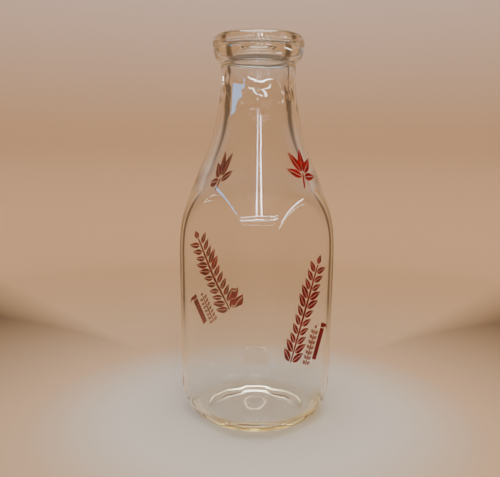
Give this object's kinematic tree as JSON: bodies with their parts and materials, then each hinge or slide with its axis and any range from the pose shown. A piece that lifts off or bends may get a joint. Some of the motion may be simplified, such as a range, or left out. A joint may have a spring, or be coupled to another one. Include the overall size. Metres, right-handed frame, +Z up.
{
  "type": "glass milk bottle",
  "caption": "Tall clear glass milk bottle with a round neck and collar, round corners cut by four flat panels, and red fired ornament on two opposite sides.",
  "frame": {"origin": "Middle of the circle that the foot stands on", "axes": "+Z runs up the bottle's axis to the mouth; the front printed panel faces -Y and the back printed panel faces +Y; the plain panels face -X and +X"},
  "size_m": [0.083, 0.0838, 0.242],
  "materials": {
    "clear_glass": "polished clear soda-lime glass, faintly straw-tinted where it is thick",
    "red_enamel": "fired red enamel, satin gloss, slightly mottled"
  },
  "bodies": {
    "root": {"glass_vessel": "clear_glass", "front_leaf_sprig": "red_enamel", "front_garland": "red_enamel", "front_short_garland": "red_enamel", "front_banner_bar": "red_enamel", "front_ribbon_tail": "red_enamel", "back_leaf_sprig": "red_enamel", "back_garland": "red_enamel", "back_short_garland": "red_enamel", "back_banner_bar": "red_enamel", "back_ribbon_tail": "red_enamel"}
  },
  "joints": []
}
